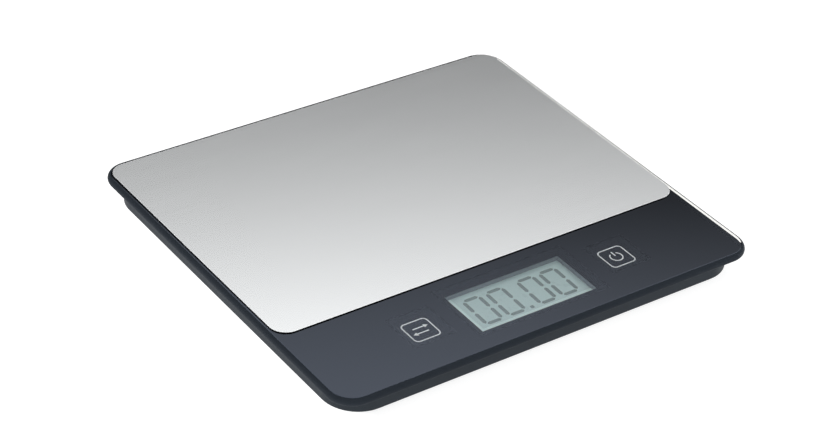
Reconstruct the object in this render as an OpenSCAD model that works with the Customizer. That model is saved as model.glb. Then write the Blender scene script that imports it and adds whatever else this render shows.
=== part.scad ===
// Slim electronic kitchen scale: a back-printed glass slab with a bonded steel
// sheet, on a moulded base that stands on four weighing feet.
// Millimetres. Origin on the table under the middle of the slab, +Z up, the
// display and its keys towards -Y.

/* [Glass slab] */
// Width of the glass slab, left to right
slab_width = 220; // [200:1:250]
// Depth of the glass slab, front to rear
slab_depth = 200; // [180:1:240]
// Thickness of the glass; its edge is ground to a full half round
slab_thickness = 4; // [3:0.1:5]
// Corner radius of the glass, seen from above
slab_corner_r = 12; // [9:0.5:16]
// Thickness of the ink on the underside of the glass
ink_thickness = 0.1; // [0.08:0.01:0.2]

/* [Steel platform] */
// Thickness of the brushed sheet
steel_thickness = 0.5; // [0.4:0.1:1]
// Glass left showing beside and behind the sheet
steel_margin = 2.8; // [2.6:0.1:6]
// Corner radius of the sheet
steel_corner_r = 8; // [5:0.5:12]
// Depth of the bare band in front of the sheet
band_depth = 51.5; // [48:0.5:58]
// Thickness of the bonding film under the sheet
film_thickness = 0.1; // [0.08:0.01:0.2]
// How far the bonding film stays inside the edge of the sheet
film_inset = 0.6; // [0.3:0.1:2]

/* [Base housing] */
// How far the base stays inside the edge of the glass
base_inset = 4; // [3:0.5:6]
// Corner radius of the base, seen from above
base_corner_r = 17; // [14:0.5:19]
// Height of the moulded base from its underside to its rim
base_height = 7.7; // [7.7:0.1:9]
// Thickness of the side wall
wall_thickness = 2; // [1.6:0.1:2.4]
// Thickness of the floor
floor_thickness = 1.6; // [1.4:0.1:1.8]
// Rounding of the bottom edge
bottom_edge_r = 1; // [0.5:0.1:1.4]
// Thickness of the bonding tape between rim and glass
tape_thickness = 0.4; // [0.3:0.05:0.6]
// Thickness of the stiffening ribs
rib_thickness = 1.2; // [0.8:0.1:1.6]
// Spacing of the stiffening ribs
rib_pitch = 26; // [24:1:30]
// Diameter of the posts that the glass is also taped to
post_d = 8; // [6:0.5:10]

/* [Weighing feet] */
// Distance from a foot's centre to the two outer walls of the base beside it
foot_inset = 20; // [19:0.5:24]
// Gap from the table to the underside of the base
foot_drop = 2.4; // [2.2:0.1:3]
// Outer diameter of a foot
foot_d = 20; // [18:0.5:22]
// Travel of a foot until its rim meets the base
foot_travel = 0.4; // [0.3:0.05:0.6]
// Diameter of the neck that passes through the floor
foot_neck_d = 14; // [12:0.5:15]
// Diameter of the rubber pad
pad_d = 17.6; // [15:0.1:17.6]
// Thickness of the rubber pad
pad_thickness = 1.3; // [1.1:0.1:1.4]
// Depth of the recess that holds the pad
pad_recess = 0.6; // [0.4:0.1:0.7]
// Diameter of the centre stud that presses on the load cell
stud_d = 5; // [4:0.5:6]

/* [Load cells] */
// Length of the sensing plate
cell_length = 28; // [26:0.5:29]
// Width of the sensing plate
cell_width = 24; // [23:0.5:25]
// Thickness of the sensing plate
cell_thickness = 1.5; // [1.2:0.1:1.8]
// Height of the sensing plate above the floor of the base
cell_lift = 2.4; // [2.2:0.1:2.6]
// Width of the bending tongue in the middle of the plate
tongue_width = 11; // [9:0.5:12]
// Length of the bending tongue
tongue_length = 16; // [14:0.5:17]
// Width of the slot that frees the tongue
slot_width = 1.4; // [1:0.1:1.6]
// Diameter of the screws that hold the plate
screw_d = 2.2; // [2:0.1:2.4]
// Length of those screws under the head
screw_length = 4.6; // [4:0.1:4.8]

/* [Display] */
// Width of the clear window in the ink
window_width = 61; // [56:0.5:63]
// Depth of the clear window
window_depth = 27.7; // [24:0.1:28]
// Distance from the line of the keys forward to the middle of the window
window_shift = 0.4; // [0:0.1:1]
// Distance from the front edge of the glass to the middle of the window and keys
control_line = 28.2; // [28:0.1:30]
// Depth of the display below the ink
display_recess = 2.4; // [1.6:0.1:2.5]
// Width of the display glass
display_width = 66; // [64:0.5:68]
// Depth of the front display glass
display_depth = 32; // [31:0.5:33]
// Thickness of each of the two display glasses
display_glass = 1.1; // [0.9:0.1:1.1]
// Depth of the contact ledge along the rear of the front glass
ledge_depth = 3; // [2.6:0.1:3.2]
// Wall of the frame that holds the display
holder_wall = 2.2; // [1.8:0.1:2.4]

/* [Circuit board] */
// Width of the board
board_width = 124; // [120:1:126]
// Depth of the board
board_depth = 40; // [39:0.5:41]
// Thickness of the board
board_thickness = 1; // [0.8:0.1:1.2]
// Gap under the board
board_lift = 0.5; // [0.4:0.1:0.7]
// Distance from the middle of the scale to each touch key
key_offset = 52.5; // [51:0.5:54]
// Outer diameter of the spring behind each touch key
touch_spring_d = 8; // [6:0.5:8.5]
// Wire of those springs
touch_wire_d = 0.5; // [0.4:0.05:0.6]
// Turns of those springs
touch_turns = 4; // [3:1:5]

/* [Battery] */
// Diameter of the coin cell
coin_d = 20; // [19.5:0.1:20.5]
// Thickness of the coin cell
coin_thickness = 3.2; // [2.5:0.1:3.2]
// Distance from the line of the keys back to the battery bay
bay_offset = 51.8; // [50:0.2:56]
// Diameter of the battery cover
cover_d = 29.4; // [29:0.1:30]
// Thickness of the battery cover
cover_thickness = 1.4; // [1.2:0.1:1.4]
// Outer diameter of the collar inside the cover
collar_d = 25; // [24.4:0.1:25]
// How far the three locking lugs stand out of the collar
lug_reach = 1.5; // [1.2:0.1:1.6]
// Angle that each lug spans
lug_angle = 30; // [24:1:34]
// Quarter turn of the cover from locked to free
cover_turn = 45; // [42:1:50]
// Length of the coin slot in the cover
coin_slot_length = 18; // [14:1:20]
// Width of the coin slot
coin_slot_width = 2.2; // [1.8:0.1:2.6]
// Depth of the coin slot
coin_slot_depth = 0.8; // [0.5:0.1:0.8]

/* [Wiring] */
// Outer diameter of one wire
wire_d = 1; // [0.8:0.1:1]
// Radius of the bends in the wires
wire_bend = 3; // [2.5:0.5:3.5]

/* [Hidden] */
$fn = 64;
small_gap = 0.1;
fit_gap = 0.3;
neck_gap = 0.4;
lap = 1;

// Heights, from the table up
base_z = foot_drop;
floor_z = base_z + floor_thickness;
rim_z = base_z + base_height;
ink_z = rim_z + tape_thickness;
glass_z = ink_z + ink_thickness;
film_z = glass_z + slab_thickness;
steel_z = film_z + film_thickness;
cell_z = floor_z + cell_lift;
cell_top = cell_z + cell_thickness;
board_z = floor_z + board_lift;
board_top = board_z + board_thickness;
display_top = ink_z - display_recess;
rear_glass_z = display_top - 2 * display_glass;
wire_z = cell_top + wire_d / 2 + small_gap / 2;
rib_top = cell_top - small_gap;

// Plan sizes
base_width = slab_width - 2 * base_inset;
base_depth = slab_depth - 2 * base_inset;
inner_width = base_width - 2 * wall_thickness;
inner_depth = base_depth - 2 * wall_thickness;
inner_corner_r = base_corner_r - wall_thickness;
foot_x = base_width / 2 - foot_inset;
foot_y = base_depth / 2 - foot_inset;
steel_width = slab_width - 2 * steel_margin;
steel_depth = slab_depth - steel_margin - band_depth;
steel_y = slab_depth / 2 - steel_margin - steel_depth / 2;
control_y = control_line - slab_depth / 2;
window_y = control_y - window_shift;
bay_y = control_y + bay_offset;

// Feet
foot_rim_top = base_z - foot_travel;
foot_rim_z = pad_thickness - pad_recess;
hole_d = foot_neck_d + 2 * neck_gap;
claw_reach = 0.9;
claw_wall = 1.3;
claw_height = 0.8;
claw_slots = 4;
claw_slot_width = 2.4;

// Load cells
boss_d = 5;
pin_d = 1.8;
boss_x = cell_length / 2 - boss_d / 2 - 2;
boss_y = cell_width / 2 - boss_d / 2 - 0.2;
gauge_length = 6;
gauge_width = 8;
gauge_height = 0.8;
gauge_lap = 2;
screw_head_d = 4.2;
screw_head_height = 1.2;

// Display
holder_width = display_width + 2 * fit_gap + 2 * holder_wall;
holder_depth = display_depth + 2 * fit_gap + 2 * holder_wall;
holder_window_margin = 0.2;
holder_top = ink_z - tape_thickness;
reflector_thickness = 0.2;
zebra_width = 56;
zebra_depth = 1.8;
peg_d = 1.4;

// Board furniture
stake_d = 2;
stake_head_d = 3.6;
stake_head_height = 0.8;
stake_margin = 2.4;
stake_x = board_width / 2 - stake_margin;
stake_front = control_y - board_depth / 2 + stake_margin;
stake_rear = control_y + board_depth / 4;
connector_height = 3.9;
connector_depth = 4.5;
connector_wall = 1;
connector_well = 0.6;
connector_margin = 1.4;
connector_rear = control_y + board_depth / 2 - connector_margin;
plug_gap = 1.1;
battery_plug_width = 6;
battery_plug_x = holder_width / 2 + battery_plug_width / 2 + plug_gap;
sensor_plug_width = 12;
sensor_plug_x = max(board_width / 2 - sensor_plug_width / 2 - 5 * plug_gap,
                    battery_plug_x + battery_plug_width / 2 + plug_gap + sensor_plug_width / 2);
blob_r = 4.2;
blob_height = 1.2;
crystal = [8, 3.4, 2];
capacitor_d = 2.6;
capacitor_height = 3;
resistor = [1.2, 2, 0.6];
part_gap = 0.4;
parts_x = (holder_width / 2 + key_offset - touch_spring_d / 2) / 2;

// Battery bay
cover_r = cover_d / 2;
collar_r = collar_d / 2;
recess_r = cover_r + fit_gap;
bay_hole_r = collar_r + fit_gap;
bay_r = collar_r + lug_reach + 0.6;
bay_wall = 1.8;
shelf_z = base_z + cover_thickness + small_gap;
shelf_top = shelf_z + 0.8;
lug_z = shelf_top + small_gap;
lug_height = 0.8;
collar_wall = 1.9;
coin_z = base_z + cover_thickness + 0.2;
coin_top = coin_z + coin_thickness;
roof_z = coin_top + 1.2;
roof_top = roof_z + 1;
guide_z = lug_z + lug_height + 0.2;
contact_thickness = 0.3;
contact_width = 4;
contact_lip_r = bay_r + bay_wall + 0.5;
contact_angle = 30;
contact_flat = 4;
contact_knee = coin_d / 2 - 1;
lug_pitch = 120;

// Wires: lanes of each run, right-hand side
wire_pitch = wire_d * 0.95;
gauge_edge = foot_x - tongue_length / 2 - gauge_length + gauge_lap - small_gap;
plug_entry = 3.3 * wire_d;
first_lane = connector_rear + wire_bend + 0.4 * wire_d;
lane_step = 3.8 * wire_d;
front_lane_x = max(gauge_edge - 2.3 * wire_bend,
                   sensor_plug_x + plug_entry + 2 * wire_bend + wire_d / 2);
front_lane_y = first_lane;
rear_lane_x = front_lane_x - wire_d;
rear_lane_y = first_lane + lane_step;
battery_lane_plus = rear_lane_y + wire_d / 2;
battery_lane_minus = battery_lane_plus + 2 * wire_d;

FEET = [["front_left", -1, -1], ["front_right", 1, -1], ["rear_left", -1, 1], ["rear_right", 1, 1]];

// Rounded rectangle centred on the origin
module rounded_rect(width, depth, r) {
  square([width - 2 * r, depth], center = true);
  square([width, depth - 2 * r], center = true);
  for (x = [-1, 1], y = [-1, 1])
    translate([x * (width / 2 - r), y * (depth / 2 - r)]) circle(r);
}

// Sweeps a profile round a rounded rectangle. In the profile, x counts outwards
// from the centre of the corner arc and y counts upwards.
module sweep_around(width, depth, r) {
  for (turn = [0, 1, 2, 3]) {
    side = turn % 2 == 0 ? depth : width;
    across = turn % 2 == 0 ? width : depth;
    rotate(turn * 90) {
      translate([across / 2 - r, side / 2 - r, 0]) rotate_extrude(angle = 90) children();
      translate([across / 2 - r, side / 2 - r, 0]) rotate([90, 0, 0])
        linear_extrude(side - 2 * r) children();
    }
  }
}

// Places children at one foot, mirrored so that local -x points inwards
module at_foot(sx, sy) {
  translate([sx * foot_x, sy * foot_y, 0]) mirror([sx < 0 ? 1 : 0, 0, 0])
    mirror([0, sy < 0 ? 1 : 0, 0]) children();
}

module at_feet() {
  for (f = FEET) at_foot(f[1], f[2]) children();
}

// Screw holes and locating pins sit on opposite corners of each sensing plate
module at_cell_screws() {
  for (s = [-1, 1]) translate([s * boss_x, s * boss_y, 0]) children();
}

module at_cell_pins() {
  for (s = [-1, 1]) translate([s * boss_x, -s * boss_y, 0]) children();
}

module at_stakes() {
  for (x = [-1, 1], y = [stake_front, stake_rear]) translate([x * stake_x, y, 0]) children();
}

module at_holder_pegs() {
  for (x = [-1, 1], y = [-1, 1])
    translate([x * (holder_width - holder_wall) / 2, control_y + y * (holder_depth - holder_wall) / 2, 0])
      children();
}

// Posts under the glass, on crossings of the ribs
module at_posts() {
  for (x = [-2, 2], y = [0, 2]) translate([x * rib_pitch, rib_pitch / 2 + y * rib_pitch, 0]) children();
  translate([0, 1.5 * rib_pitch, 0]) children();
}

// Sector of a ring, from angle a to angle b
module ring_sector(r_in, r_out, height, a, b) {
  rotate(a) rotate_extrude(angle = b - a) translate([r_in, 0]) square([r_out - r_in, height]);
}

// Closed outline of a strip of even thickness along a path of points
function unit(v) = v / norm(v);
function left_of(v) = [-v[1], v[0]];
function mitre(path, i) =
  let (last = len(path) - 1,
       before = i == 0 ? unit(path[1] - path[0]) : unit(path[i] - path[i - 1]),
       after = i == last ? before : unit(path[i + 1] - path[i]),
       normal = unit(left_of(before) + left_of(after)))
  normal / (normal * left_of(before));
function strip_outline(path, thickness) = concat(
  [for (i = [0:len(path) - 1]) path[i] + mitre(path, i) * thickness / 2],
  [for (i = [len(path) - 1:-1:0]) path[i] - mitre(path, i) * thickness / 2]);

// Flat ribbon of round wires along a level path with rounded corners
function heading(path, i) = atan2(path[i + 1][1] - path[i][1], path[i + 1][0] - path[i][0]);
function turn_at(path, i) =
  let (a = heading(path, i) - heading(path, i - 1)) a > 180 ? a - 360 : a < -180 ? a + 360 : a;
function cut_back(path, i) =
  i == 0 || i == len(path) - 1 ? 0 : wire_bend * tan(abs(turn_at(path, i)) / 2);

module ribbon_section(count) {
  for (i = [0:count - 1]) translate([(i - (count - 1) / 2) * wire_pitch, 0])
    circle(d = wire_d, $fn = count > 1 ? 24 : 12);
}

module wire_run(path, count) {
  for (i = [0:len(path) - 2]) {
    start = cut_back(path, i);
    run = norm(path[i + 1] - path[i]) - start - cut_back(path, i + 1);
    translate([path[i][0], path[i][1], wire_z]) rotate(heading(path, i))
      translate([start, 0, 0]) rotate([90, 0, 90]) linear_extrude(run) ribbon_section(count);
  }
  for (i = [1:len(path) - 2]) {
    turn = turn_at(path, i);
    side = sign(turn);
    translate([path[i][0], path[i][1], wire_z]) rotate(heading(path, i - 1))
      translate([-cut_back(path, i), side * wire_bend, 0])
        rotate(side > 0 ? -90 : 90 + turn) rotate_extrude(angle = abs(turn))
          translate([wire_bend, 0]) ribbon_section(count);
  }
}

// Steel sheet and its bonding film
module steel_plan(inset) {
  translate([0, steel_y])
    rounded_rect(steel_width - 2 * inset, steel_depth - 2 * inset, steel_corner_r - inset);
}

module steel_platform() {
  color("silver") translate([0, 0, steel_z]) linear_extrude(steel_thickness) steel_plan(0);
}

module platform_film() {
  color("gainsboro") translate([0, 0, film_z]) linear_extrude(film_thickness) steel_plan(film_inset);
}

// Glass slab: a plate with a half-round edge swept round it
module glass_slab() {
  edge_r = slab_thickness / 2;
  color([0.3, 0.35, 0.38, 0.5]) translate([0, 0, glass_z]) {
    linear_extrude(slab_thickness)
      rounded_rect(slab_width - 2 * (edge_r + lap), slab_depth - 2 * (edge_r + lap),
                   slab_corner_r - edge_r - lap);
    sweep_around(slab_width, slab_depth, slab_corner_r) {
      translate([slab_corner_r - edge_r, edge_r]) circle(edge_r);
      translate([slab_corner_r - edge_r - 2 * lap, 0]) square([2 * lap, slab_thickness]);
    }
  }
}

// Plan of the clear window, widened by a margin
module window_plan(margin) {
  square([window_width + 2 * margin, window_depth + 2 * margin], center = true);
}

// Ink on the underside of the glass, left clear over the display
module glass_ink() {
  edge_r = slab_thickness / 2;
  color("darkslategray") translate([0, 0, ink_z]) linear_extrude(ink_thickness) difference() {
    rounded_rect(slab_width - 2 * edge_r, slab_depth - 2 * edge_r, slab_corner_r - edge_r);
    translate([0, window_y]) window_plan(0);
  }
}

// Tape on the rim and on the posts of the base
module rim_tape() {
  tape_margin = 0.3;
  color("dimgray") translate([0, 0, rim_z]) linear_extrude(tape_thickness) {
    difference() {
      rounded_rect(base_width - 2 * tape_margin, base_depth - 2 * tape_margin, base_corner_r - tape_margin);
      rounded_rect(inner_width + 2 * tape_margin, inner_depth + 2 * tape_margin,
                   inner_corner_r + tape_margin);
    }
    at_posts() circle(d = post_d - 1);
  }
}

// Areas of the floor that the ribs leave free
module rib_keepouts() {
  translate([0, control_y]) square([board_width + 3, board_depth + 3], center = true);
  translate([0, control_y - board_depth / 2]) square([board_width + 3, board_depth], center = true);
  translate([0, bay_y]) circle(bay_r + bay_wall - lap / 2);
  at_feet() square([cell_length + 2, cell_width + 2], center = true);
}

module ribs() {
  reach = slab_width + slab_depth;
  linear_extrude(rib_top - floor_z + lap / 2) difference() {
    intersection() {
      rounded_rect(inner_width + lap, inner_depth + lap, inner_corner_r + lap / 2);
      for (i = [-4:4]) {
        translate([i * rib_pitch, 0]) square([rib_thickness, reach], center = true);
        translate([0, (i + 0.5) * rib_pitch]) square([reach, rib_thickness], center = true);
      }
    }
    rib_keepouts();
  }
}

// Cup that holds the coin cell, and the stepped hollow that takes the cover
module battery_bay_body() {
  translate([0, bay_y, base_z + lap / 2]) cylinder(h = roof_top - base_z - lap / 2, r = bay_r + bay_wall);
}

module battery_bay_hollow() {
  translate([0, bay_y, 0]) rotate_extrude() polygon([
    [0, base_z - lap], [recess_r, base_z - lap], [recess_r, shelf_z], [bay_hole_r, shelf_z],
    [bay_hole_r, shelf_top], [bay_r, shelf_top], [bay_r, roof_z], [0, roof_z]]);
}

// Gaps in the shelf that let the lugs in, and slits in the roof for the contacts
module battery_bay_cuts() {
  roof_middle = roof_top / 2 - roof_z / 2 + lap / 2;
  slit = [1, contact_width + 2 * fit_gap, roof_top - roof_z + lap];
  for (k = [0, 1, 2])
    translate([0, bay_y, shelf_z - lap / 2]) rotate(k * lug_pitch - cover_turn - 90)
      ring_sector(bay_hole_r - lap, collar_r + lug_reach + fit_gap, shelf_top - shelf_z + lap,
                  -lug_angle / 2 - 2, lug_angle / 2 + 2);
  translate([0, bay_y, roof_z - lap / 2]) {
    rotate(-90 - contact_angle) translate([coin_d / 2 + 0.2, 0, roof_middle]) cube(slit, center = true);
    rotate(-90 + contact_angle) translate([bay_r - 1.6, 0, roof_middle]) cube(slit, center = true);
  }
}

// Guides that centre the coin cell and stops for the lugs of the cover
module battery_bay_guides() {
  guide_r = coin_d / 2 + fit_gap;
  translate([0, bay_y, 0]) {
    for (a = [0, 90, 180]) rotate(a) translate([guide_r, -0.8, guide_z])
      cube([bay_r - guide_r + lap / 2, 1.6, roof_z - guide_z + lap / 2]);
    for (k = [0, 1, 2]) rotate(k * lug_pitch - 90) translate([0, 0, shelf_top - lap / 4])
      ring_sector(collar_r + 2 * fit_gap, bay_r + lap / 2, lug_height + lap / 4,
                  lug_angle / 2 + 1, lug_pitch - cover_turn - lug_angle / 2 - 3);
  }
}

// Bosses, pins and stakes that stand on the floor
module floor_fixings() {
  at_feet() {
    at_cell_screws() difference() {
      translate([0, 0, floor_z - lap / 2]) cylinder(h = cell_lift + lap / 2, d = boss_d);
      translate([0, 0, cell_top - screw_length - fit_gap])
        cylinder(h = screw_length, d = screw_d + small_gap);
    }
    at_cell_pins() {
      translate([0, 0, floor_z - lap / 2]) cylinder(h = cell_lift + lap / 2, d = boss_d);
      translate([0, 0, cell_z - lap / 2]) cylinder(h = cell_thickness + lap / 2 + 0.5, d = pin_d);
    }
  }
  at_stakes() {
    translate([0, 0, floor_z - lap / 2]) cylinder(h = board_lift + lap / 2, d = stake_head_d);
    translate([0, 0, floor_z]) cylinder(h = board_top - floor_z + lap / 4, d = stake_d);
    translate([0, 0, board_top]) cylinder(h = stake_head_height, d1 = stake_head_d, d2 = stake_d);
  }
  at_posts() translate([0, 0, floor_z - lap / 2]) difference() {
    cylinder(h = rim_z - floor_z + lap / 2, d = post_d);
    cylinder(h = rim_z - floor_z + lap, d = post_d / 2);
  }
}

// Moulded base: floor, wall with a rounded bottom edge, ribs, bosses and battery bay
module base_housing() {
  color([0.24, 0.25, 0.27]) battery_bay_guides();
  color([0.24, 0.25, 0.27]) difference() {
    union() {
      translate([0, 0, base_z]) {
        linear_extrude(floor_thickness)
          rounded_rect(base_width - 2 * wall_thickness, base_depth - 2 * wall_thickness, inner_corner_r);
        sweep_around(base_width, base_depth, base_corner_r) {
          translate([base_corner_r - bottom_edge_r, bottom_edge_r]) circle(bottom_edge_r);
          translate([base_corner_r - wall_thickness, bottom_edge_r])
            square([wall_thickness, base_height - bottom_edge_r]);
          translate([base_corner_r - wall_thickness - lap, 0])
            square([wall_thickness + lap - bottom_edge_r, floor_thickness]);
        }
      }
      translate([0, 0, floor_z - lap / 2]) ribs();
      battery_bay_body();
      floor_fixings();
    }
    at_feet() translate([0, 0, base_z - lap]) cylinder(h = floor_thickness + 2 * lap, d = hole_d);
    at_feet() at_cell_screws() translate([0, 0, cell_top - screw_length - fit_gap])
      cylinder(h = screw_length, d = screw_d + small_gap);
    battery_bay_hollow();
    battery_bay_cuts();
  }
}

// Foot: rim with a recess for the pad, a neck of four snap claws and a centre stud
module foot(sx, sy) {
  neck_r = foot_neck_d / 2;
  claw_z = floor_z + small_gap;
  color([0.16, 0.17, 0.18]) at_foot(sx, sy) difference() {
    union() {
      translate([0, 0, foot_rim_z]) cylinder(h = foot_rim_top - foot_rim_z, d = foot_d);
      cylinder_tube(neck_r - claw_wall, neck_r, foot_rim_top - lap / 4, claw_z + claw_height);
      translate([0, 0, claw_z]) rotate_extrude()
        polygon([[neck_r - claw_wall, 0], [neck_r + claw_reach, 0],
                 [neck_r, claw_height], [neck_r - claw_wall, claw_height]]);
      translate([0, 0, foot_rim_top - lap / 4]) cylinder(h = cell_z - foot_rim_top + lap / 4, d = stud_d);
    }
    translate([0, 0, foot_rim_z - lap]) cylinder(h = pad_recess + lap, d = pad_d + small_gap);
    for (k = [0:claw_slots / 2 - 1]) rotate(45 + k * 360 / claw_slots)
      translate([0, 0, base_z + (claw_height + claw_z - base_z + lap) / 2]) difference() {
        cube([foot_d, claw_slot_width, claw_height + claw_z - base_z + lap], center = true);
        cylinder(h = foot_d, r = neck_r - claw_wall - small_gap, center = true);
      }
  }
}

module cylinder_tube(r_in, r_out, z_low, z_high) {
  translate([0, 0, z_low]) rotate_extrude() translate([r_in, 0]) square([r_out - r_in, z_high - z_low]);
}

// Rubber pad with a bevelled tread edge
module foot_pad(sx, sy) {
  bevel = 0.4;
  color([0.1, 0.1, 0.1]) at_foot(sx, sy) rotate_extrude() polygon([
    [0, 0], [pad_d / 2 - bevel, 0], [pad_d / 2, bevel], [pad_d / 2, pad_thickness], [0, pad_thickness]]);
}

// Sensing plate: a slot frees a tongue that the foot's stud presses on
module load_cell(sx, sy) {
  slot_x = tongue_length / 2 + slot_width;
  color("lightsteelblue") at_foot(sx, sy) translate([0, 0, cell_z]) difference() {
    linear_extrude(cell_thickness) difference() {
      rounded_rect(cell_length, cell_width, 2);
      difference() {
        translate([slot_x - tongue_length / 2 - slot_width / 2, 0])
          square([tongue_length + slot_width, tongue_width + 2 * slot_width], center = true);
        translate([-lap / 2, 0]) square([tongue_length + lap, tongue_width], center = true);
      }
    }
    at_cell_screws() translate([0, 0, -lap])
      cylinder(h = cell_thickness + 2 * lap, d = screw_d + 2 * small_gap);
    at_cell_pins() translate([0, 0, -lap]) cylinder(h = cell_thickness + 2 * lap, d = pin_d + 2 * small_gap);
  }
}

// Coated gauges on the root of each tongue
module strain_gauges() {
  gauge_x = -tongue_length / 2 - gauge_length / 2 + gauge_lap;
  color("ivory") at_feet() translate([gauge_x, 0, cell_top])
    linear_extrude(gauge_height) rounded_rect(gauge_length, gauge_width, 1.2);
}

module cell_screws() {
  color("lightgray") at_feet() at_cell_screws() {
    translate([0, 0, cell_top - screw_length]) cylinder(h = screw_length + lap / 4, d = screw_d);
    translate([0, 0, cell_top]) difference() {
      cylinder(h = screw_head_height, d = screw_head_d);
      for (a = [0, 90]) rotate(a) translate([0, 0, screw_head_height])
        cube([screw_head_d * 0.6, 0.6, screw_head_height], center = true);
    }
  }
}

// Display: front glass with a contact ledge, rear glass and reflector film
module display_front_glass() {
  color([0.62, 0.68, 0.66]) translate([0, control_y, display_top - display_glass / 2])
    cube([display_width, display_depth, display_glass], center = true);
}

module display_rear_glass() {
  rear_depth = display_depth - ledge_depth;
  color([0.55, 0.6, 0.58]) translate([0, control_y - ledge_depth / 2, rear_glass_z + display_glass / 2])
    cube([display_width, rear_depth, display_glass], center = true);
}

module display_reflector() {
  rear_depth = display_depth - ledge_depth;
  color("gainsboro") translate([0, control_y - ledge_depth / 2, rear_glass_z - reflector_thickness / 2])
    cube([display_width - 2, rear_depth - 2, reflector_thickness], center = true);
}

module display_holder() {
  cavity = [display_width + 2 * fit_gap, display_depth + 2 * fit_gap];
  color([0.2, 0.2, 0.21]) {
    difference() {
      translate([0, control_y, board_top]) linear_extrude(holder_top - board_top)
        rounded_rect(holder_width, holder_depth, 1.5);
      translate([0, window_y, board_top - lap]) linear_extrude(holder_top) window_plan(holder_window_margin);
      translate([0, control_y, board_top - lap]) linear_extrude(display_top - board_top + lap)
        square(cavity, center = true);
    }
    at_holder_pegs() translate([0, 0, board_z]) cylinder(h = board_thickness + lap / 2, d = peg_d);
  }
}

module display_gasket() {
  color("black") translate([0, 0, holder_top]) linear_extrude(ink_z - holder_top) difference() {
    translate([0, control_y]) rounded_rect(holder_width - 1, holder_depth - 1, 1);
    translate([0, window_y]) window_plan(holder_window_margin);
  }
}

// Conductive rubber strip between the board and the ledge of the front glass
module zebra_strip() {
  zebra_y = control_y + display_depth / 2 - ledge_depth / 2;
  zebra_height = display_top - display_glass - board_top;
  color("dimgray") translate([0, zebra_y, board_top + zebra_height / 2])
    cube([zebra_width, zebra_depth, zebra_height], center = true);
}

module main_board() {
  color("seagreen") translate([0, 0, board_z]) linear_extrude(board_thickness) difference() {
    translate([0, control_y]) rounded_rect(board_width, board_depth, 1.5);
    at_stakes() circle(d = stake_d + 2 * small_gap);
    at_holder_pegs() circle(d = peg_d + 2 * small_gap);
  }
}

// Domed cap over the controller chip
module controller_cap() {
  edge_height = 0.3;
  dome_height = blob_height - edge_height;
  dome_r = (blob_r * blob_r + dome_height * dome_height) / (2 * dome_height);
  color("black") translate([-parts_x, control_y, board_top]) rotate_extrude() intersection() {
    translate([0, blob_height - dome_r]) circle(dome_r, $fn = 256);
    square([blob_r, blob_height]);
  }
}

// Timing crystal, filter capacitors and chip resistors, in rows from the rear
module board_components() {
  row_1 = board_depth / 4;
  row_2 = row_1 - crystal[1] / 2 - 10 * part_gap - capacitor_d / 2;
  row_3 = row_2 - capacitor_d / 2 - 8 * part_gap - resistor[1] / 2;
  row_4 = row_3 - resistor[1] - 4 * part_gap;
  color("tan") translate([parts_x, control_y, board_top]) {
    translate([0, row_1, 0]) linear_extrude(crystal[2])
      rounded_rect(crystal[0], crystal[1], crystal[1] / 2 - small_gap);
    for (i = [-1:1]) translate([i * (capacitor_d + part_gap), row_2, 0])
      cylinder(h = capacitor_height, d = capacitor_d);
    for (i = [-1.5:1.5], y = [row_3, row_4]) translate([i * 2 * resistor[0], y, resistor[2] / 2])
      cube(resistor, center = true);
  }
}

module board_connectors() {
  plugs = [[-sensor_plug_x, sensor_plug_width], [sensor_plug_x, sensor_plug_width],
           [battery_plug_x, battery_plug_width]];
  color("ivory") for (p = plugs)
    translate([p[0], connector_rear - connector_depth / 2, board_top + connector_height / 2])
      difference() {
        cube([p[1], connector_depth, connector_height], center = true);
        translate([0, 0, connector_height / 2])
          cube([p[1] - 2 * connector_wall, connector_depth - 2 * connector_wall, 2 * connector_well],
               center = true);
      }
}

// Helical spring from the board to the ink under a touch key
function coil_point(t, r, z0, rise) = [r * cos(360 * t), r * sin(360 * t), z0 + rise * t];
function coil_ring(t, r, z0, rise, wire_r, sides) =
  let (slope = atan2(rise, 2 * PI * r))
  [for (k = [0:sides - 1]) let (a = 360 * k / sides, u = wire_r * cos(a), w = wire_r * sin(a))
    coil_point(t, r, z0, rise)
    + u * [cos(360 * t), sin(360 * t), 0]
    + w * [sin(slope) * sin(360 * t), -sin(slope) * cos(360 * t), cos(slope)]];

module touch_spring(side) {
  sides = 6;
  steps = 16;
  wire_r = touch_wire_d / 2;
  r = touch_spring_d / 2 - wire_r;
  rise = (ink_z - board_top - 2 * wire_r - small_gap) / touch_turns;
  rings = touch_turns * steps;
  foot_z = board_top + wire_r + small_gap / 2;
  points = [for (i = [0:rings]) each coil_ring(i / steps, r, foot_z, rise, wire_r, sides)];
  walls = [for (i = [0:rings - 1], k = [0:sides - 1])
    let (a = i * sides + k, b = i * sides + (k + 1) % sides)
      each [[a, b, b + sides], [a, b + sides, a + sides]]];
  first_cap = [for (k = [1:sides - 2]) [0, k + 1, k]];
  last = rings * sides;
  last_cap = [for (k = [1:sides - 2]) [last, last + k, last + k + 1]];
  color("goldenrod") translate([side * key_offset, control_y, 0])
    polyhedron(points, concat(walls, first_cap, last_cap));
}

// Wires from each strain gauge to the board, three side by side
module cell_wires(sx, sy) {
  plug_y = connector_rear + small_gap;
  rear_path = [[gauge_edge, foot_y], [rear_lane_x, foot_y], [rear_lane_x, rear_lane_y],
               [sensor_plug_x - plug_entry, rear_lane_y], [sensor_plug_x - plug_entry, plug_y]];
  front_path = [[gauge_edge, -foot_y], [front_lane_x, -foot_y], [front_lane_x, front_lane_y],
                [sensor_plug_x + plug_entry, front_lane_y], [sensor_plug_x + plug_entry, plug_y]];
  color("firebrick") mirror([sx < 0 ? 1 : 0, 0, 0]) wire_run(sy > 0 ? rear_path : front_path, 3);
}

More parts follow.
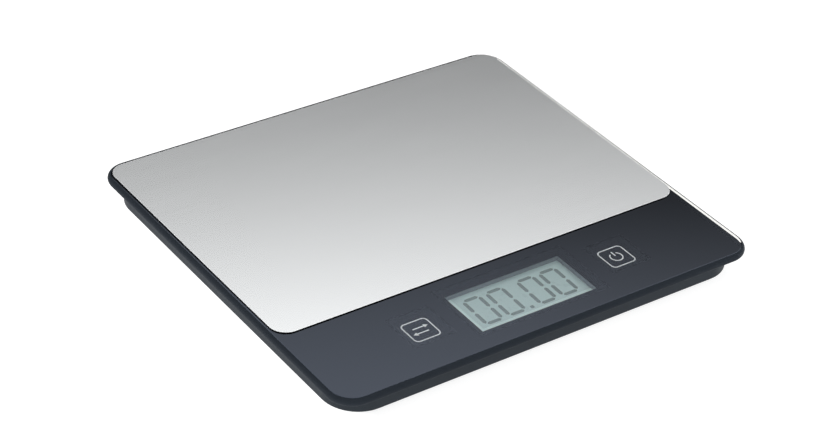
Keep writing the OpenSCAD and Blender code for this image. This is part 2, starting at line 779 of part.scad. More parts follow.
// Battery leads from the contacts to the board
module battery_wire(side, lane_y, plug_x) {
  start_r = contact_lip_r + contact_thickness / 2 + fit_gap;
  start_x = side * start_r * sin(contact_angle);
  path = [[start_x, bay_y - start_r * cos(contact_angle)], [start_x, lane_y],
          [plug_x, lane_y], [plug_x, connector_rear + small_gap]];
  color(side > 0 ? "black" : "red") wire_run(path, 1);
}

// Coin cell: the wide can below, the smaller cap above
module coin_cell() {
  cap_height = 0.4;
  color("gainsboro") translate([0, bay_y, coin_z]) {
    cylinder(h = coin_thickness - cap_height, d = coin_d);
    cylinder(h = coin_thickness, d = coin_d - 2.4);
  }
}

// Bent strips: the profile is drawn in the plane of radius and height
module contact(turn, path) {
  color("gold") translate([0, bay_y, 0]) rotate(-90 + turn) rotate([90, 0, 0])
    linear_extrude(contact_width, center = true) polygon(strip_outline(path, contact_thickness));
}

module contact_plus() {
  rim = coin_d / 2 + 0.2;
  over = roof_top + contact_thickness / 2;
  contact(-contact_angle, [[rim, guide_z], [rim, over], [contact_lip_r, over],
                           [contact_lip_r, wire_z - wire_d / 2]]);
}

module contact_minus() {
  riser = bay_r - 1.6;
  over = roof_top + contact_thickness / 2;
  under = roof_z - contact_thickness / 2;
  touch = coin_top + contact_thickness / 2;
  contact(contact_angle, [[0, touch], [contact_flat, touch], [contact_knee, under - small_gap],
                          [riser, under - small_gap], [riser, over], [contact_lip_r, over],
                          [contact_lip_r, wire_z - wire_d / 2]]);
}

// Quarter-turn cover with a coin slot, a collar and three locking lugs
module battery_cover() {
  color([0.2, 0.21, 0.22]) translate([0, bay_y, 0]) difference() {
    union() {
      translate([0, 0, base_z]) cylinder(h = cover_thickness, r = cover_r);
      cylinder_tube(collar_r - collar_wall, collar_r,
                    base_z + cover_thickness - lap / 4, lug_z + lug_height);
      for (k = [0, 1, 2]) translate([0, 0, lug_z]) rotate(k * lug_pitch - 90)
        ring_sector(collar_r - collar_wall / 2, collar_r + lug_reach, lug_height,
                    -lug_angle / 2, lug_angle / 2);
    }
    translate([0, 0, base_z]) cube([coin_slot_length, coin_slot_width, 2 * coin_slot_depth], center = true);
  }
}

steel_platform();
platform_film();
glass_slab();
glass_ink();
base_housing();
rim_tape();
display_gasket();
display_front_glass();
display_rear_glass();
display_reflector();
display_holder();
zebra_strip();
main_board();
controller_cap();
board_components();
board_connectors();
touch_spring(-1);  // touch_spring_left
touch_spring(1);  // touch_spring_right
strain_gauges();
cell_screws();
for (f = FEET) {
  load_cell(f[1], f[2]);
  foot(f[1], f[2]);
  foot_pad(f[1], f[2]);
  cell_wires(f[1], f[2]);
}
battery_wire(-1, battery_lane_plus, battery_plug_x - 0.8 * wire_d);  // battery_wire_plus
battery_wire(1, battery_lane_minus, battery_plug_x + 0.8 * wire_d);  // battery_wire_minus
coin_cell();
contact_plus();
contact_minus();
battery_cover();
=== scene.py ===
"""Looks of a slim electronic kitchen scale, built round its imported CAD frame.

Everything is in metres, in the frame of the CAD: the origin lies on the worktop
under the middle of the glass slab, +X to the right, +Y to the rear, +Z up.
"""

import logging
import math
from dataclasses import dataclass
from enum import Enum
from typing import Callable, Iterable, Sequence

import bmesh
import bpy
from mathutils import Matrix, Vector


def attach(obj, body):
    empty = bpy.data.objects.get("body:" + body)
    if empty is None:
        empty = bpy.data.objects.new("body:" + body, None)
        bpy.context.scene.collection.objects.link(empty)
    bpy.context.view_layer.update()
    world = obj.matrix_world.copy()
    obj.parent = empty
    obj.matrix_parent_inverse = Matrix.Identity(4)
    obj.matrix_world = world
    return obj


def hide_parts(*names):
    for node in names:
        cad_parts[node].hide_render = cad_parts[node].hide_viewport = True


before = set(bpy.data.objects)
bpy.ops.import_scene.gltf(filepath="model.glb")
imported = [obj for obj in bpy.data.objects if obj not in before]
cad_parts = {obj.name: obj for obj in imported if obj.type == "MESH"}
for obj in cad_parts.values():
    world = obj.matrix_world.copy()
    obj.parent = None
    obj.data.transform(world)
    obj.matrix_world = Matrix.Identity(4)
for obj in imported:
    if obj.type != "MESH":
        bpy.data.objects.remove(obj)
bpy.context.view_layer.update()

MM = 0.001
CHASSIS = "chassis"

WHITE = (1.0, 1.0, 1.0, 1.0)

# The values of a noise pattern between which a tone or a gloss changes.
PATTERN_SPAN = (0.3, 0.7)

# How close to a height a level edge or face lies, and to a corner the cut that meets it.
SAME_HEIGHT = 1e-6
CUT_TOLERANCE = 1e-7

# An edge is upright when this share of its length is along Z.
UPRIGHT_SHARE = 0.9

# Faces smaller than this belong to a rounding and are shaded smooth.
SMALL_FACE = 20.0 * MM * MM

# The profile of a rounding that follows a true quarter circle.
ROUND = 0.5

log = logging.getLogger("kitchen_scale")


class Corner(Enum):
    """The four corners at which the scale stands, as CAD name endings."""

    FRONT_LEFT = "front_left"
    FRONT_RIGHT = "front_right"
    REAR_LEFT = "rear_left"
    REAR_RIGHT = "rear_right"


class Sign(Enum):
    """Generic signs that a touch key can carry."""

    SWAP = "swap"
    POWER = "power"


class Pattern(Enum):
    """Fine relief that a finish can have."""

    BRUSHED = "brushed"
    SPARK = "spark"
    PLAIN = "plain"


class NodeGraph:
    """A node tree with short calls to add and join nodes."""

    def __init__(self, tree: bpy.types.NodeTree) -> None:
        """Takes the node tree to work on."""
        self.tree = tree

    def add(self, kind: str, **settings: object) -> bpy.types.Node:
        """Adds a node and sets its plain attributes.

        Args:
            kind: Blender's node type.
            settings: attribute names with their values.

        Returns:
            The new node.
        """
        node = self.tree.nodes.new(kind)
        for name, value in settings.items():
            setattr(node, name, value)
        return node

    def join(self, source: bpy.types.NodeSocket, target: bpy.types.NodeSocket) -> None:
        """Joins an output socket to an input socket."""
        self.tree.links.new(source, target)

    def combine(
        self, operation: str, first: bpy.types.NodeSocket, second: bpy.types.NodeSocket
    ) -> bpy.types.NodeSocket:
        """Adds a Math node that works on two outputs.

        Args:
            operation: Blender's name of the sum, such as ADD or MAXIMUM.
            first: the first output.
            second: the second output.

        Returns:
            The result's output.
        """
        node = self.add("ShaderNodeMath", operation=operation)
        self.join(first, node.inputs[0])
        self.join(second, node.inputs[1])
        return node.outputs["Value"]

    def change(
        self, value: bpy.types.NodeSocket, span: Sequence[float],
        results: Sequence[float] = (0.0, 1.0), soft: bool = True,
    ) -> bpy.types.NodeSocket:
        """Adds a change from one number to another, level before and after.

        Args:
            value: what the change depends on.
            span: the values at which the change starts and ends.
            results: the numbers before the start and beyond the end.
            soft: whether the change starts and ends gently.

        Returns:
            The result's output.
        """
        kind = "SMOOTHSTEP" if soft else "LINEAR"
        node = self.add("ShaderNodeMapRange", interpolation_type=kind)
        names = ("From Min", "From Max", "To Min", "To Max")
        for name, number in zip(names, (*span, *results)):
            node.inputs[name].default_value = number
        self.join(value, node.inputs["Value"])
        return node.outputs["Result"]


class NodeSheet(NodeGraph):
    """A material's node tree, with its shader and patterns on Object coordinates."""

    def __init__(self, name: str) -> None:
        """Makes an empty material whose Principled shader feeds the output.

        Args:
            name: the material's name.
        """
        self.material = bpy.data.materials.new(name)
        self.material.use_nodes = True
        super().__init__(self.material.node_tree)
        self.shader = self.tree.nodes["Principled BSDF"]

    def constants(self, **values: object) -> None:
        """Sets constants on the shader's own sockets, by name with underscores."""
        for name, value in values.items():
            self.shader.inputs[name.replace("_", " ")].default_value = value

    def object_space(self, scale: Sequence[float]) -> bpy.types.NodeSocket:
        """Gives Object coordinates multiplied by a scale for each axis.

        Args:
            scale: repeats per metre along X, Y and Z.

        Returns:
            The vector output to feed to a texture.
        """
        coordinates = self.add("ShaderNodeTexCoord")
        mapping = self.add("ShaderNodeMapping")
        mapping.inputs["Scale"].default_value = scale
        self.join(coordinates.outputs["Object"], mapping.inputs["Vector"])
        return mapping.outputs["Vector"]

    def axes(self) -> bpy.types.NodeOutputs:
        """Splits Object coordinates.

        Returns:
            The outputs named X, Y and Z.
        """
        split = self.add("ShaderNodeSeparateXYZ")
        self.join(self.object_space((1.0, 1.0, 1.0)), split.inputs["Vector"])
        return split.outputs

    def noise(
        self, scale: Sequence[float], detail: float, rough: float = 0.5
    ) -> bpy.types.NodeSocket:
        """Adds a noise pattern on Object coordinates.

        Args:
            scale: repeats per metre along X, Y and Z.
            detail: octaves of the pattern.
            rough: weight of the finer octaves.

        Returns:
            The pattern's value output, from 0 to 1.
        """
        noise = self.add("ShaderNodeTexNoise")
        noise.inputs["Scale"].default_value = 1.0
        noise.inputs["Detail"].default_value = detail
        noise.inputs["Roughness"].default_value = rough
        self.join(self.object_space(scale), noise.inputs["Vector"])
        return noise.outputs["Fac"]

    def two_tones(
        self, value: bpy.types.NodeSocket, dark: Sequence[float], light: Sequence[float]
    ) -> bpy.types.NodeSocket:
        """Turns a 0 to 1 pattern into colours between two tones.

        Args:
            value: the pattern.
            dark: the tone where the pattern is low.
            light: the tone where it is high.

        Returns:
            The colour's output.
        """
        ramp = self.add("ShaderNodeValToRGB")
        for stop, place, tone in zip(ramp.color_ramp.elements, PATTERN_SPAN, (dark, light)):
            stop.position = place
            stop.color = (*tone, 1.0)
        self.join(value, ramp.inputs["Fac"])
        return ramp.outputs["Color"]

    def relief(self, value: bpy.types.NodeSocket, strength: float, depth: float) -> None:
        """Feeds a pattern to the shader's normal as a fine relief.

        Args:
            value: the height pattern.
            strength: share of the relief that shows.
            depth: height of the pattern in metres.
        """
        bump = self.add("ShaderNodeBump")
        bump.inputs["Strength"].default_value = strength
        bump.inputs["Distance"].default_value = depth
        self.join(value, bump.inputs["Height"])
        self.join(bump.outputs["Normal"], self.shader.inputs["Normal"])


@dataclass(frozen=True)
class Finish:
    """An opaque finish: a tone with slight mottling, gloss and a fine relief.

    The mottling and the grain are given in repeats per metre. The streaks of a
    brushed finish run along X and are brush_stretch times longer than wide.
    """

    name: str
    tone: tuple[float, float, float]
    roughness: float
    metallic: float = 0.0
    specular: float = 0.5
    mottle: float = 0.06
    mottle_scale: float = 220.0
    mottle_detail: float = 4.0
    pattern: Pattern = Pattern.PLAIN
    grain: float = 2400.0
    grain_detail: float = 2.0
    grain_depth: float = 0.02 * MM
    grain_strength: float = 0.25
    brush_stretch: float = 90.0
    brush_rough: float = 0.6
    roughness_spread: float = 0.04
    # Emission in the finish's own tone; above zero it is painted light, a glow on a part that is no
    # lamp.
    glow: float = 0.0

    def material(self) -> bpy.types.Material:
        """Builds the material.

        Returns:
            A procedural material on Object coordinates.
        """
        sheet = NodeSheet(self.name)
        sheet.constants(
            Metallic=self.metallic, Specular_IOR_Level=self.specular,
            Emission_Color=(*self.tone, 1.0), Emission_Strength=self.glow,
        )
        shades = self.shades(sheet)
        dark = tuple(c * (1.0 - self.mottle) for c in self.tone)
        light = tuple(min(1.0, c * (1.0 + self.mottle)) for c in self.tone)
        sheet.join(sheet.two_tones(shades, dark, light), sheet.shader.inputs["Base Color"])
        ends = (self.roughness - self.roughness_spread, self.roughness + self.roughness_spread)
        rough = sheet.change(shades, PATTERN_SPAN, ends, soft=False)
        sheet.join(rough, sheet.shader.inputs["Roughness"])
        if self.pattern is Pattern.BRUSHED:
            sheet.relief(shades, self.grain_strength, self.grain_depth)
        elif self.pattern is Pattern.SPARK:
            grain = sheet.noise((self.grain,) * 3, self.grain_detail)
            sheet.relief(grain, self.grain_strength, self.grain_depth)
        return sheet.material

    def shades(self, sheet: NodeSheet) -> bpy.types.NodeSocket:
        """Adds the pattern of the finish: streaks where it is brushed, else blotches.

        Args:
            sheet: the material's node tree.

        Returns:
            The pattern's output, from 0 to 1.
        """
        if self.pattern is Pattern.BRUSHED:
            streaks = (self.grain / self.brush_stretch, self.grain, self.grain)
            return sheet.noise(streaks, self.mottle_detail, self.brush_rough)
        return sheet.noise((self.mottle_scale,) * 3, self.mottle_detail)


@dataclass(frozen=True)
class Zone:
    """A rectangle in plan, given by its middle and its sizes."""

    x: float
    y: float
    width: float
    depth: float

    def holds(self, point: Vector) -> bool:
        """Tells whether a point lies inside the rectangle in plan."""
        return abs(point.x - self.x) < self.width / 2 and abs(point.y - self.y) < self.depth / 2

    def sides(self, height: float) -> list[tuple[Vector, Vector]]:
        """Gives the upright planes through the four sides.

        Args:
            height: Z of the planes' points.

        Returns:
            For each side a point on it and the plane's normal.
        """
        planes = []
        for way in (-1.0, 1.0):
            across = Vector((self.x + way * self.width / 2, 0.0, height))
            along = Vector((0.0, self.y + way * self.depth / 2, height))
            planes.append((across, Vector((1.0, 0.0, 0.0))))
            planes.append((along, Vector((0.0, 1.0, 0.0))))
        return planes


@dataclass(frozen=True)
class InkedGlass:
    """Polished glass that is clear over some zones and darkened over the rest.

    A zone is clear up to the margin round it, and the dark sets in over the
    width of the fade.
    """

    name: str
    zones: tuple[Zone, ...]
    ior: float = 1.6
    tint: tuple[float, float, float] = (0.985, 0.995, 0.99)
    dark: tuple[float, float, float] = (0.002, 0.003, 0.005)
    sheen: tuple[float, float, float] = (0.55, 0.70, 1.0)
    mottle: float = 0.004
    mottle_scale: float = 9.0
    mottle_detail: float = 1.0
    margin: float = 2.0 * MM
    fade: float = 2.5 * MM

    def material(self) -> bpy.types.Material:
        """Builds the material.

        Returns:
            A refracting material on Object coordinates.
        """
        sheet = NodeSheet(self.name)
        sheet.constants(
            Roughness=0.0, IOR=self.ior, Transmission_Weight=1.0, Specular_Tint=(*self.sheen, 1.0)
        )
        uneven = tuple(c * (1.0 - self.mottle) for c in self.tint)
        pattern = sheet.noise((self.mottle_scale,) * 3, self.mottle_detail)
        blend = sheet.add("ShaderNodeMix", data_type="RGBA")
        sheet.join(self.darkening(sheet), blend.inputs["Factor"])
        sheet.join(sheet.two_tones(pattern, uneven, self.tint), blend.inputs["A"])
        blend.inputs["B"].default_value = (*self.dark, 1.0)
        sheet.join(blend.outputs["Result"], sheet.shader.inputs["Base Color"])
        return sheet.material

    def darkening(self, sheet: NodeSheet) -> bpy.types.NodeSocket:
        """Adds the pattern that is 0 over the zones and 1 away from them.

        Args:
            sheet: the material's node tree.

        Returns:
            The pattern's output.
        """
        axes = sheet.axes()
        total = self.beyond(sheet, axes, self.zones[0])
        for zone in self.zones[1:]:
            total = sheet.combine("MINIMUM", total, self.beyond(sheet, axes, zone))
        return total

    def beyond(
        self, sheet: NodeSheet, axes: bpy.types.NodeOutputs, zone: Zone
    ) -> bpy.types.NodeSocket:
        """Adds the pattern that is 0 over one zone and 1 away from it.

        Args:
            sheet: the material's node tree.
            axes: Object coordinates as separate outputs.
            zone: the zone.

        Returns:
            The pattern's output.
        """
        across = self.fade_from(sheet, axes["X"], zone.x, zone.width / 2)
        along = self.fade_from(sheet, axes["Y"], zone.y, zone.depth / 2)
        return sheet.combine("MAXIMUM", across, along)

    def fade_from(
        self, sheet: NodeSheet, place: bpy.types.NodeSocket, middle: float, half: float
    ) -> bpy.types.NodeSocket:
        """Adds the fade along one axis.

        Args:
            sheet: the material's node tree.
            place: the coordinate.
            middle: the zone's middle along the axis.
            half: half the zone's size along it.

        Returns:
            The output, 0 inside the zone and its margin and 1 beyond the fade.
        """
        offset = sheet.add("ShaderNodeMath", operation="SUBTRACT")
        offset.inputs[1].default_value = middle
        sheet.join(place, offset.inputs[0])
        size = sheet.add("ShaderNodeMath", operation="ABSOLUTE")
        sheet.join(offset.outputs["Value"], size.inputs[0])
        start = half + self.margin
        return sheet.change(size.outputs["Value"], (start, start + self.fade))


WINDOW = Zone(0.0, -72.2 * MM, 61.0 * MM, 27.7 * MM)
KEYS = (
    Zone(-52.3 * MM, -71.9 * MM, 13.4 * MM, 13.4 * MM),
    Zone(52.9 * MM, -71.9 * MM, 13.4 * MM, 13.4 * MM),
)
# Painted highlight: the right rim alone is kept clear glass here, so it shows a bright line that
# the other rims don't.
RIM_HIGHLIGHT = Zone(110.0 * MM, 0.0, 3.0 * MM, 180.0 * MM)

FINISHES: tuple[Finish | InkedGlass, ...] = (
    Finish(
        "sheet_steel", (0.915, 0.931, 0.938), 0.23, metallic=1.0, mottle=0.005,
        pattern=Pattern.BRUSHED, grain_depth=0.001 * MM, grain_strength=0.012,
        roughness_spread=0.01,
    ),
    # Painted shade: the sheet's cut sides are near black, a painted shadow line along its edge.
    Finish("cut_edge_shade", (0.03, 0.032, 0.035), 0.6, metallic=0.4, mottle=0.1),
    InkedGlass("pane", (WINDOW, *KEYS, RIM_HIGHLIGHT)),
    Finish("slate_ink", (0.0012, 0.0018, 0.0035), 0.5, specular=0.05, mottle=0.02),
    Finish("ground_edge", (0.019, 0.024, 0.031), 0.6, specular=0.04, mottle=0.03),
    # Painted light: the key print glows a little so that it reads brighter.
    Finish("mark_ink_painted_glow", (0.93, 0.97, 1.0), 0.5, specular=0.2, mottle=0.01, glow=0.1),
    Finish(
        "base_plastic", (0.024, 0.031, 0.039), 0.5, specular=0.12, pattern=Pattern.SPARK,
        grain_strength=0.12,
    ),
    Finish(
        "cover_plastic", (0.025, 0.032, 0.041), 0.46, specular=0.2, pattern=Pattern.SPARK,
        grain_strength=0.2,
    ),
    Finish("foot_plastic", (0.020, 0.021, 0.023), 0.4, pattern=Pattern.SPARK),
    Finish("pad_rubber", (0.012, 0.012, 0.012), 0.75, pattern=Pattern.SPARK, grain=1500.0),
    Finish(
        "foam_tape", (0.018, 0.018, 0.019), 0.9, pattern=Pattern.SPARK, grain=3200.0,
        grain_strength=0.6,
    ),
    Finish(
        "gasket_foam", (0.115, 0.155, 0.14), 0.9, pattern=Pattern.SPARK, grain=3200.0,
        grain_strength=0.5,
    ),
    Finish("display_glass", (0.495, 0.668, 0.665), 0.3, mottle=0.004, specular=0.3),
    # Painted highlight: the display's border is lighter, standing in for the lit strip along its
    # left and front edges.
    Finish("display_border_highlight", (0.66, 0.85, 0.83), 0.3, mottle=0.004, specular=0.3),
    Finish("segment_film", (0.135, 0.20, 0.175), 0.4, mottle=0.01, specular=0.2),
    Finish("reflector", (0.65, 0.67, 0.65), 0.5, mottle=0.02),
    # Painted shade: the bonding film is near black so that its edge reads as a shadow line under
    # the steel.
    Finish("film", (0.02, 0.02, 0.02), 0.5, mottle=0.02),
    Finish("contact_rubber", (0.03, 0.03, 0.032), 0.6),
    Finish("board", (0.02, 0.17, 0.075), 0.35, mottle=0.12, mottle_scale=900.0),
    Finish("chip_cap", (0.01, 0.01, 0.01), 0.18, mottle=0.1),
    Finish("small_parts", (0.42, 0.34, 0.22), 0.4, mottle=0.1),
    Finish("plug_nylon", (0.78, 0.75, 0.66), 0.45, mottle=0.04),
    Finish("spring_wire", (0.80, 0.62, 0.30), 0.25, metallic=1.0, mottle=0.05),
    Finish("gauge_coat", (0.80, 0.78, 0.72), 0.55, mottle=0.05),
    Finish("zinc", (0.72, 0.73, 0.75), 0.28, metallic=1.0, mottle=0.05),
    Finish("red_wire", (0.45, 0.02, 0.015), 0.35, mottle=0.05),
    Finish("black_wire", (0.015, 0.015, 0.015), 0.35, mottle=0.05),
    Finish(
        "coin_steel", (0.70, 0.69, 0.67), 0.3, metallic=1.0, mottle=0.02,
        pattern=Pattern.BRUSHED, grain_depth=0.004 * MM,
    ),
    Finish("nickel", (0.74, 0.71, 0.64), 0.25, metallic=1.0, mottle=0.04),
    Finish(
        "cell_alloy", (0.60, 0.61, 0.63), 0.35, metallic=1.0, mottle=0.03,
        pattern=Pattern.BRUSHED, grain_depth=0.006 * MM,
    ),
)


class Paintbox:
    """Makes each finish's material once and hands it out by name."""

    def __init__(self) -> None:
        """Sorts the finishes by name, with no material made yet."""
        self._finishes = {finish.name: finish for finish in FINISHES}
        self._made: dict[str, bpy.types.Material] = {}

    def get(self, name: str) -> bpy.types.Material:
        """Gives the material of a finish, made on first use.

        Args:
            name: the finish's name.

        Returns:
            The material.
        """
        if name not in self._made:
            self._made[name] = self._finishes[name].material()
        return self._made[name]

    def dress(self, node: str, finish: str) -> None:
        """Gives a CAD node a finish.

        Args:
            node: the CAD node's name.
            finish: the finish's name.
        """
        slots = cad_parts[node].data.materials
        slots.clear()
        slots.append(self.get(finish))
        log.info("%s: dressed in %s", node, finish)

    def dress_all(self, finishes: Iterable[tuple[str, str]]) -> None:
        """Gives each CAD node its finish, from pairs of the two names."""
        for node, finish in finishes:
            self.dress(node, finish)


def piece(
    name: str, mesh: bmesh.types.BMesh, materials: Sequence[bpy.types.Material],
    body: str = CHASSIS, replaced: Iterable[str] = (),
) -> None:
    """Turns a finished bmesh into an object that rides on a body.

    Args:
        name: the object's name.
        mesh: the shape, freed afterwards.
        materials: one material per material index.
        body: the CAD body that carries the piece.
        replaced: CAD nodes that the piece stands for.
    """
    bmesh.ops.recalc_face_normals(mesh, faces=mesh.faces)
    data = bpy.data.meshes.new(name)
    mesh.to_mesh(data)
    mesh.free()
    made = bpy.data.objects.new(name, data)
    bpy.context.scene.collection.objects.link(made)
    for material in materials:
        data.materials.append(material)
    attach(made, body)
    if replaced:
        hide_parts(*replaced)
    log.info("%s: %d faces on %s", name, len(data.polygons), body)


def move(mesh: bmesh.types.BMesh, shift: Sequence[float]) -> None:
    """Moves a whole shape."""
    bmesh.ops.translate(mesh, vec=shift, verts=mesh.verts)


def turn(mesh: bmesh.types.BMesh, degrees: float, axis: str = "Z") -> None:
    """Turns a whole shape about an axis through the origin."""
    about = Matrix.Rotation(math.radians(degrees), 3, axis)
    bmesh.ops.rotate(mesh, matrix=about, verts=mesh.verts)


def block(
    width: float, depth: float, low: float, high: float, centre: Sequence[float] = (0.0, 0.0)
) -> bmesh.types.BMesh:
    """Makes a box from its plan and its two heights.

    Args:
        width: size along X.
        depth: size along Y.
        low: height of the underside.
        high: height of the top.
        centre: X and Y of the middle.

    Returns:
        A bmesh with the box.
    """
    mesh = bmesh.new()
    bmesh.ops.create_cube(mesh, size=1.0)
    bmesh.ops.scale(mesh, vec=(width, depth, high - low), verts=mesh.verts)
    move(mesh, (*centre, (low + high) / 2))
    return mesh


def round_edges(
    mesh: bmesh.types.BMesh, wanted: Callable[[bmesh.types.BMEdge], bool], radius: float, steps: int
) -> None:
    """Rounds the edges that a test picks.

    Args:
        mesh: the shape.
        wanted: says of an edge whether it is rounded.
        radius: the rounding.
        steps: facets across the rounding.
    """
    bmesh.ops.bevel(
        mesh, geom=[e for e in mesh.edges if wanted(e)], offset=radius, offset_type="OFFSET",
        segments=steps, profile=ROUND, affect="EDGES", material=-1, clamp_overlap=True,
    )


def is_upright(edge: bmesh.types.BMEdge) -> bool:
    """Tells whether an edge runs along Z."""
    run = edge.verts[1].co - edge.verts[0].co
    return abs(run.z) > UPRIGHT_SHARE * run.length


def lies_at(height: float) -> Callable[[bmesh.types.BMEdge], bool]:
    """Makes a test for edges that lie level at a height."""
    return lambda edge: all(abs(v.co.z - height) < SAME_HEIGHT for v in edge.verts)


def smooth_small(mesh: bmesh.types.BMesh, largest: float) -> None:
    """Shades faces smooth when they are smaller than an area, others flat."""
    for face in mesh.faces:
        face.smooth = face.calc_area() < largest


def rounded_plate(
    width: float, depth: float, low: float, high: float, corner: float,
    top_edge: float, bottom_edge: float, centre: Sequence[float] = (0.0, 0.0),
    corner_steps: int = 20, edge_steps: int = 4,
) -> bmesh.types.BMesh:
    """Makes a plate with round corners and rounded upper and lower edges.

    Args:
        width: size along X.
        depth: size along Y.
        low: height of the underside.
        high: height of the top.
        corner: corner radius in plan.
        top_edge: rounding of the upper edge.
        bottom_edge: rounding of the lower edge.
        centre: X and Y of the middle.
        corner_steps: facets round a corner.
        edge_steps: facets across an edge rounding.

    Returns:
        A bmesh with the plate.
    """
    mesh = block(width, depth, low, high, centre)
    round_edges(mesh, is_upright, corner, corner_steps)
    if top_edge > 0:
        round_edges(mesh, lies_at(high), top_edge, edge_steps)
    if bottom_edge > 0:
        round_edges(mesh, lies_at(low), bottom_edge, edge_steps)
    smooth_small(mesh, SMALL_FACE)
    return mesh


def stroke_frame(
    side: float, corner: float, stroke: float, low: float, high: float,
    centre: Sequence[float], steps: int = 8,
) -> bmesh.types.BMesh:
    """Makes the thin printed outline of a rounded square.

    Args:
        side: length of a side, between stroke centres.
        corner: outer corner radius.
        stroke: width of the line.
        low: height of the underside of the ink.
        high: height of its top.
        centre: X and Y of the middle.
        steps: facets round a corner.

    Returns:
        A bmesh with the outline.
    """
    mesh = bmesh.new()
    bmesh.ops.create_grid(mesh, x_segments=1, y_segments=1, size=(side + stroke) / 2)
    bmesh.ops.bevel(
        mesh, geom=list(mesh.verts), offset=corner, offset_type="OFFSET", segments=steps,
        profile=ROUND, affect="VERTICES", material=-1,
    )
    bmesh.ops.inset_region(mesh, faces=mesh.faces, thickness=stroke, use_boundary=True)
    inner = min(mesh.faces, key=lambda f: f.calc_center_median().length)
    bmesh.ops.delete(mesh, geom=[inner], context="FACES")
    thicken(mesh, high - low)
    move(mesh, (*centre, low))
    return mesh


def thicken(mesh: bmesh.types.BMesh, height: float) -> None:
    """Extrudes flat faces upwards into a closed solid.

    Args:
        mesh: the flat faces, which become the solid.
        height: how far they go up.
    """
    made = bmesh.ops.extrude_face_region(mesh, geom=list(mesh.faces), use_keep_orig=True)
    raised = [g for g in made["geom"] if isinstance(g, bmesh.types.BMVert)]
    bmesh.ops.translate(mesh, vec=(0.0, 0.0, height), verts=raised)


def arc_stroke(
    radius: float, stroke: float, height: float, start: float, sweep: float, steps: int = 32
) -> bmesh.types.BMesh:
    """Makes a flat printed arc about the origin.

    Args:
        radius: radius of the line's centre.
        stroke: width of the line.
        height: thickness of the ink.
        start: angle at which the arc starts, in degrees from +X.
        sweep: angle that it covers, in degrees.
        steps: facets along the arc.

    Returns:
        A bmesh with the arc.
    """
    # A unit square is cut to the stroke, stood upright and swept along the arc.
    mesh = bmesh.new()
    made = bmesh.ops.create_grid(mesh, x_segments=1, y_segments=1, size=0.5)
    bmesh.ops.scale(mesh, vec=(stroke, height, 1.0), verts=made["verts"])
    turn(mesh, 90.0, "X")
    move(mesh, (radius, 0.0, height / 2))
    turn(mesh, start)
    profile = list(mesh.verts) + list(mesh.edges) + list(mesh.faces)
    bmesh.ops.spin(
        mesh, geom=profile, cent=(0, 0, 0), axis=(0, 0, 1), dvec=(0, 0, 0),
        angle=math.radians(sweep), steps=steps, use_merge=False, use_duplicate=False,
    )
    return mesh


def bar(
    length: float, stroke: float, height: float, centre: Sequence[float], angle: float = 0.0
) -> bmesh.types.BMesh:
    """Makes a flat printed bar.

    Args:
        length: size along X before turning.
        stroke: width of the bar.
        height: thickness of the ink.
        centre: X and Y of the middle.
        angle: turn about +Z in degrees.

    Returns:
        A bmesh with the bar.
    """
    mesh = block(length, stroke, 0.0, height)
    turn(mesh, angle)
    move(mesh, (*centre, 0.0))
    return mesh


def arrow_head(
    size: float, height: float, centre: Sequence[float], angle: float
) -> bmesh.types.BMesh:
    """Makes a flat triangle that points along +X before turning.

    Args:
        size: distance from its middle to a tip.
        height: thickness of the ink.
        centre: X and Y of the middle.
        angle: turn about +Z in degrees.

    Returns:
        A bmesh with the triangle.
    """
    mesh = bmesh.new()
    bmesh.ops.create_circle(mesh, cap_ends=True, segments=3, radius=size)
    # The new triangle has its first tip along +Y.
    turn(mesh, angle - 90.0)
    move(mesh, (*centre, 0.0))
    thicken(mesh, height)
    return mesh


def gather(
    target: bmesh.types.BMesh, part: bmesh.types.BMesh, shift: Sequence[float] = (0.0, 0.0, 0.0)
) -> None:
    """Adds one bmesh to another and frees it.

    Args:
        target: the bmesh that grows.
        part: the bmesh that is added.
        shift: how far the part moves first.
    """
    move(part, shift)
    scratch = bpy.data.meshes.new("scratch")
    part.to_mesh(scratch)
    part.free()
    target.from_mesh(scratch)
    bpy.data.meshes.remove(scratch)


def outline_zone(mesh: bmesh.types.BMesh, zone: Zone, height: float) -> None:
    """Splits the level faces at a height along the four sides of a zone.

    Args:
        mesh: the shape.
        zone: the rectangle to be outlined.
        height: where the faces lie.
    """
    for point, normal in zone.sides(height):
        level = [f for f in mesh.faces if abs(f.calc_center_median().z - height) < SAME_HEIGHT]
        geom = set(level)
        for face in level:
            geom.update(face.edges)
            geom.update(face.verts)
        bmesh.ops.bisect_plane(
            mesh, geom=list(geom), plane_co=point, plane_no=normal, dist=CUT_TOLERANCE
        )


